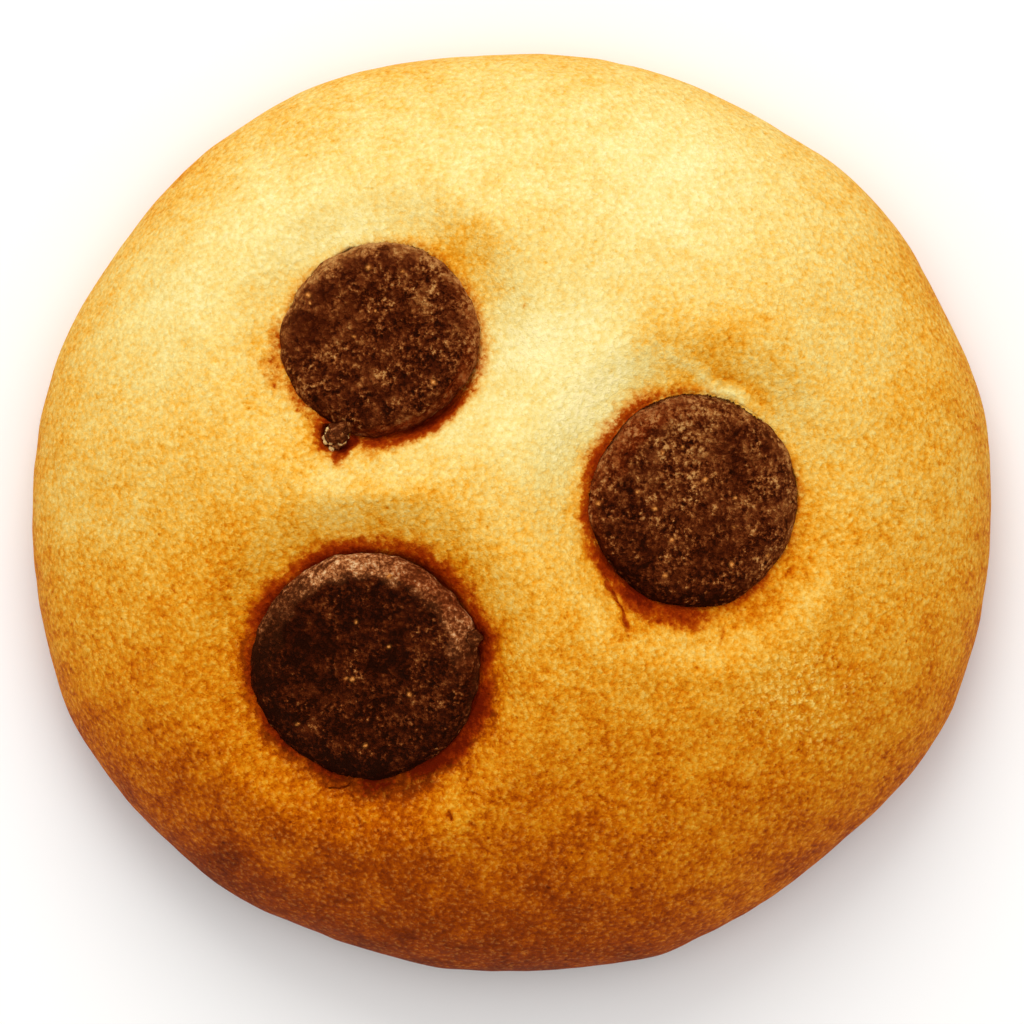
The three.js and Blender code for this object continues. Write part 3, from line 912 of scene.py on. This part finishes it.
def makeGrainGroup():  # fine grain, granules, lumps and pores, for crust and chocolate alike
    group = bpy.data.node_groups.new("fineGrain", "ShaderNodeTree")
    group.interface.new_socket(name="Vector", in_out="INPUT", socket_type="NodeSocketVector")
    for name in ("Grain Scale", "Granule Scale", "Lump Scale", "Pore Scale", "Pore Size"):
        group.interface.new_socket(name=name, in_out="INPUT", socket_type="NodeSocketFloat")
    for name in grainOutputs:
        group.interface.new_socket(name=name, in_out="OUTPUT", socket_type="NodeSocketFloat")
    start = group.nodes.new("NodeGroupInput")
    end = group.nodes.new("NodeGroupOutput")

    def texture(kind, scale, place, values):
        return addNode(group, kind, {"Vector": place, "Scale": start.outputs[scale], **values})

    place = start.outputs["Vector"]
    grain = texture("ShaderNodeTexNoise", "Grain Scale", place, grainForm["grain"])
    lumps = texture("ShaderNodeTexNoise", "Lump Scale", place, grainForm["lumps"])
    pores = texture("ShaderNodeTexVoronoi", "Pore Scale", place, {"Randomness": 1.0})
    stray = {0: grain.outputs["Color"], "Scale": grainForm["stray"]}
    stray = addNode(group, "ShaderNodeVectorMath", stray, operation="SCALE").outputs["Vector"]
    strayed = addNode(group, "ShaderNodeVectorMath", {0: place, 1: stray}, operation="ADD").outputs["Vector"]
    granules = texture("ShaderNodeTexVoronoi", "Granule Scale", strayed, {"Randomness": 1.0})
    for node, name in ((grain, "Grain"), (lumps, "Lumps")):
        centred = times(group, combine(group, "SUBTRACT", node.outputs[0], 0.5), 2.0)
        group.links.new(centred, end.inputs[name])
    level, strength = grainForm["granules"]
    raised = combine(group, "SUBTRACT", level, granules.outputs["Distance"])
    group.links.new(times(group, raised, strength), end.inputs["Granules"])
    inside = combine(group, "SUBTRACT", start.outputs["Pore Size"], pores.outputs["Distance"])
    sharp = combine(group, "DIVIDE", inside, start.outputs["Pore Size"], clamp=True)
    group.links.new(sharp, end.inputs["Pores"])
    return group


grainGroup = makeGrainGroup()


def placeGrain(tree, values, shift=(0, 0, 0)):  # the grain, granules, lumps and pores at a place
    coords = tree.nodes.new("ShaderNodeTexCoord").outputs["Object"]
    place = {"Vector": coords, "Scale": (1 / mm, 1 / mm, 1 / mm), "Location": shift}
    place = addNode(tree, "ShaderNodeMapping", place).outputs["Vector"]
    node = addNode(tree, "ShaderNodeGroup", {"Vector": place, **values}, node_tree=grainGroup)
    return [node.outputs[name] for name in grainOutputs]


def attribute(tree, name):
    return addNode(tree, "ShaderNodeAttribute", attribute_name=name).outputs["Fac"]


def startMaterial(name):
    material = bpy.data.materials.new(name)
    material.use_nodes = True
    tree = material.node_tree
    tree.nodes.clear()
    shader = tree.nodes.new("ShaderNodeBsdfPrincipled")
    output = tree.nodes.new("ShaderNodeOutputMaterial")
    tree.links.new(shader.outputs["BSDF"], output.inputs["Surface"])
    return material, tree, shader


crust = {
    "grain": {
        "Grain Scale": 4.2, "Granule Scale": 3.3, "Lump Scale": 0.6, "Pore Scale": 0.9, "Pore Size": 0.1,
    },
    "grainAmount": 0.33,
    "granuleAmount": 0.12,
    "lumpAmount": 0.16,
    "poreAmount": 0.25,
    "unevenFade": (0.66, 0.95, 1.0, 0.66),  # finer variation where the crust is darkest
    "paleFade": (0.1, 0.4, 0.25, 1.0),  # and less of it where the crust is palest
    "darkest": 1.2,
    # colours from palest to darkest crust; the darker ones also carry the painted shade
    "stops": [
        (0.0, 250, 232, 168), (0.12, 240, 221, 150), (0.25, 235, 209, 128), (0.38, 233, 195, 105),
        (0.5, 233, 180, 77), (0.6, 229, 163, 50), (0.7, 221, 142, 23), (0.8, 208, 117, 7),
        (0.88, 191, 94, 0), (0.95, 168, 73, 0), (1.02, 144, 55, 0), (1.2, 98, 31, 0),
    ],
    "stainAndShadeBake": 0.4,  # faint stain and painted shade only brown the crust
    "stainAndShadeCover": (0.1, 0.6),
    "stainAndShadeGrain": 0.36,
    # colours of the stain, darkened as painted shade where it fills the gaps
    "stainAndShadeStops": [
        (0.15, 220, 150, 40), (0.35, 202, 112, 14), (0.55, 172, 72, 4), (0.75, 142, 42, 2),
        (1.0, 100, 18, 1),
    ],
    "stainAndShadeFull": 2.5,  # stain and painted shade of 1 / 2.5 have their full grain
    "stainAndShadeGranules": -0.3,
    "fleckAndGlintFrom": (0.1, 0.8, 0.0, 1.0),  # which granules are flecks with painted glints
    "fleckAndGlintAmount": 0.85,
    # the flecks' colour, brightened as painted glints
    "fleckAndGlintColour": linear(255, 214, 112),
    "shadeAmount": 0.34,
    "shadeShift": (31, 17, 5),
    "bump": 0.6,
    "bumpDepth": 0.05,
    "bumpParts": (-0.5, -1.5),  # grain and pores, beside the granules
    "roughness": 0.72,
    "roughGrain": -0.1,
    "specular": 0.06,
    "specularTint": (1.0, 0.65, 0.2, 1.0),
}


def makeCrust():
    material, tree, shader = startMaterial("crust")
    fine, granules, lumps, pores = placeGrain(tree, crust["grain"])
    bakeAndShade, stainAndShade = attribute(tree, "bakeAndShade"), attribute(tree, "stainAndShade")
    uneven = times(tree, fine, crust["grainAmount"])
    uneven = addUp(tree, uneven, (granules, -crust["granuleAmount"]))
    settled = mapRange(tree, bakeAndShade, *crust["unevenFade"])
    calm = mapRange(tree, bakeAndShade, *crust["paleFade"])
    uneven = times(tree, uneven, settled)
    # pale sugar flecks, made brighter as painted glints
    sugarAndGlintGranules = mapRange(tree, granules, *crust["fleckAndGlintFrom"])
    sugarAndGlint = times(tree, sugarAndGlintGranules, attribute(tree, "flecksAndGlints"))
    sugarAndGlint = times(tree, sugarAndGlint, crust["fleckAndGlintAmount"], clamp=True)
    bakeAndShade = addUp(
        tree, combine(tree, "ADD", bakeAndShade, uneven), (lumps, crust["lumpAmount"]),
        (pores, crust["poreAmount"]), (stainAndShade, crust["stainAndShadeBake"]),
    )
    stops = [(place / crust["darkest"], *colour) for place, *colour in crust["stops"]]
    colour = ramp(tree, combine(tree, "DIVIDE", bakeAndShade, crust["darkest"]), stops)
    colour = mixColour(tree, sugarAndGlint, colour, crust["fleckAndGlintColour"])
    # melted chocolate stain beside the chips, darkened further as painted shade in the gaps
    patchy = addUp(tree, fine, (granules, crust["stainAndShadeGranules"]))
    patchy = times(tree, patchy, crust["stainAndShadeGrain"])
    full = combine(tree, "MINIMUM", times(tree, stainAndShade, crust["stainAndShadeFull"]), 1.0)
    soakedAndShaded = addUp(tree, stainAndShade, (patchy, full))
    stainAndShadeColour = ramp(tree, soakedAndShaded, crust["stainAndShadeStops"])
    cover = mapRange(tree, soakedAndShaded, *crust["stainAndShadeCover"], 0.0, 1.0)
    colour = mixColour(tree, cover, colour, stainAndShadeColour, "DARKEN")
    other = placeGrain(tree, crust["grain"], crust["shadeShift"])
    shade = times(tree, other[0], crust["shadeAmount"])
    shade = times(tree, shade, times(tree, settled, calm))
    tree.links.new(brighten(tree, colour, shade), shader.inputs["Base Color"])
    fineBump, poreBump = crust["bumpParts"]
    finishSurface(tree, shader, fine, addUp(tree, granules, (fine, fineBump), (pores, poreBump)), crust)
    return material


chocolate = {
    "grain": {
        "Grain Scale": 4.2, "Granule Scale": 4.2, "Lump Scale": 1.25, "Pore Scale": 1.6, "Pore Size": 0.1,
    },
    "tone": 0.40,
    "grainAmount": 1.02,
    "grainPatches": (-0.25, 0.25, 0.4, 1.35),  # smooth and grainy places
    "patchShift": (13, 7, 29),
    "granuleAmount": 0.14,
    "lumpAmount": 0.44,
    "stops": [
        (0.05, 36, 8, 1), (0.28, 66, 19, 3), (0.44, 92, 36, 9), (0.56, 118, 56, 21), (0.72, 161, 95, 43),
        (0.95, 214, 154, 88),
    ],
    "dustAndRimLightParts": (1.1, 0.4, 0.5),  # how thick the dust and painted rim light look: grain, lumps and the dust and painted rim light themselves
    "dustAndRimLightCover": (1.1, 0.6),  # how well it covers, and the lumps' share in that
    "rustCover": (0.7, 0.5),
    "bitsAndGlints": (-0.1, 0.4, 0.0, 0.6),  # which lumps carry pale bits, partly painted glints on the grain
    # colours of the dust, the palest standing in as painted highlight
    "dustAndRimLightStops": [
        (0.2, 114, 57, 25), (0.45, 176, 103, 54), (0.62, 218, 148, 90), (0.85, 248, 204, 150),
    ],
    "rustColour": linear(150, 44, 2),
    # colours of the pale specks, the palest standing in as painted glints
    "speckAndGlintStops": [(0.0, 156, 84, 32), (0.5, 228, 142, 62), (1.0, 255, 212, 140)],
    "bump": 1.0,
    "bumpDepth": 0.08,
    "roughness": 0.62,
    "roughGrain": 0.2,
    "specular": 0.045,
    "specularTint": (1.0, 0.6, 0.3, 1.0),
}


def makeChocolate():
    material, tree, shader = startMaterial("bakedChocolate")
    fine, granules, lumps, pores = placeGrain(tree, chocolate["grain"])
    dustAndRimLight = attribute(tree, "dustAndRimLight")
    other = placeGrain(tree, chocolate["grain"], chocolate["patchShift"])
    patches = mapRange(tree, other[2], *chocolate["grainPatches"])
    grainy = combine(tree, "SUBTRACT", 1.0, attribute(tree, "smooth"), clamp=True)
    grainy = times(tree, patches, grainy)
    uneven = times(tree, times(tree, fine, chocolate["grainAmount"]), grainy)
    tone = addUp(
        tree, combine(tree, "ADD", uneven, chocolate["tone"]), (granules, chocolate["granuleAmount"]),
        (lumps, chocolate["lumpAmount"]), (attribute(tree, "tone"), 1.0),
    )
    colour = ramp(tree, tone, chocolate["stops"])
    # pale dust, with painted highlight on the lit north-facing rims
    fineShare, lumpShare, dustAndRimLightShare = chocolate["dustAndRimLightParts"]
    thickness = addUp(tree, times(tree, fine, fineShare), (lumps, lumpShare), (dustAndRimLight, dustAndRimLightShare))
    dustAndRimLightColour = ramp(tree, thickness, chocolate["dustAndRimLightStops"])
    for (least, lumpy), mask, over in (
        (chocolate["dustAndRimLightCover"], dustAndRimLight, dustAndRimLightColour),
        (chocolate["rustCover"], attribute(tree, "rust"), chocolate["rustColour"]),
    ):
        patchy = combine(tree, "ADD", addUp(tree, fine, (lumps, lumpy)), least)
        colour = mixColour(tree, times(tree, mask, patchy, clamp=True), colour, over)
    # pale bits and specks, partly painted glints where the grain and crystals catch the light
    bitsAndGlints = times(tree, pores, mapRange(tree, lumps, *chocolate["bitsAndGlints"]))
    specksAndGlints = combine(tree, "ADD", bitsAndGlints, attribute(tree, "specksAndGlints"))
    pale = ramp(tree, times(tree, specksAndGlints, 0.5), chocolate["speckAndGlintStops"])
    colour = mixColour(tree, combine(tree, "MINIMUM", specksAndGlints, 1.0), colour, pale)
    tree.links.new(colour, shader.inputs["Base Color"])
    finishSurface(tree, shader, fine, addUp(tree, granules, (fine, 1.0), (lumps, 1.0)), chocolate)
    return material


crustMaterial = makeCrust()
chocolateMaterial = makeChocolate()

doughPiece = makeDough()
doughPiece.data.materials.append(crustMaterial)
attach(doughPiece, "root")
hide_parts("dough")
print("dough made")

for name, chip in chips.items():
    piece = makeChip(name, chip)
    piece.data.materials.append(chocolateMaterial)
    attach(piece, "root")
    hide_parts(chip["node"])
print("chips made")


# floor, light and camera

floor = {"radius": 2.5, "colour": (0.93, 0.93, 0.925, 1.0), "roughness": 0.8}

lights = {  # bearing and elevation in degrees, lengths in metres, power in watts
    "keyLight": {
        "bearing": 96, "elevation": 44, "distance": 0.5, "size": 0.34,
        "power": 1.24, "colour": (1.0, 0.985, 0.96),
    },
    "topLight": {
        "bearing": 90, "elevation": 84, "distance": 0.7, "size": 0.7,
        "power": 1.39, "colour": (1.0, 1.0, 1.0),
    },
}

world = {"colour": (1.0, 0.99, 0.975, 1.0), "strength": 0.63}

view = {"lens": 1200, "sensor": 36, "width": 51.2, "centre": (0.05, 0.025)}


def makeFloor():
    bm = bmesh.new()
    bmesh.ops.create_circle(bm, cap_ends=True, radius=floor["radius"], segments=64)
    mesh = bpy.data.meshes.new("floor")
    bm.to_mesh(mesh)
    bm.free()
    piece = bpy.data.objects.new("floor", mesh)
    bpy.context.collection.objects.link(piece)
    material, tree, shader = startMaterial("paleFloor")
    shader.inputs["Base Color"].default_value = floor["colour"]
    shader.inputs["Roughness"].default_value = floor["roughness"]
    mesh.materials.append(material)


def makeLights():
    for name, values in lights.items():
        data = bpy.data.lights.new(name, "AREA")
        data.shape = "DISK"
        data.size = values["size"]
        data.energy = values["power"]
        data.color = values["colour"]
        lamp = bpy.data.objects.new(name, data)
        bearing, elevation = math.radians(values["bearing"]), math.radians(values["elevation"])
        direction = Vector((
            math.cos(bearing) * math.cos(elevation),
            math.sin(bearing) * math.cos(elevation),
            math.sin(elevation),
        ))
        lamp.location = direction * values["distance"]
        lamp.rotation_euler = direction.to_track_quat("Z", "Y").to_euler()
        lamp.visible_camera = False
        bpy.context.collection.objects.link(lamp)
    ambient = bpy.data.worlds.new("paleRoom")
    ambient.use_nodes = True
    background = ambient.node_tree.nodes["Background"]
    background.inputs["Color"].default_value = world["colour"]
    background.inputs["Strength"].default_value = world["strength"]
    bpy.context.scene.world = ambient
    bpy.context.scene.view_settings.view_transform = "Standard"


def makeCamera():
    data = bpy.data.cameras.new("camera")
    data.lens = view["lens"]
    data.sensor_width = view["sensor"]
    camera = bpy.data.objects.new("camera", data)
    distance = view["width"] * view["lens"] / view["sensor"]
    x, y = view["centre"]
    camera.location = (x * mm, y * mm, (dough["waistHeight"] + distance) * mm)
    bpy.context.collection.objects.link(camera)
    bpy.context.scene.camera = camera


makeFloor()
makeLights()
makeCamera()
print("stage set")
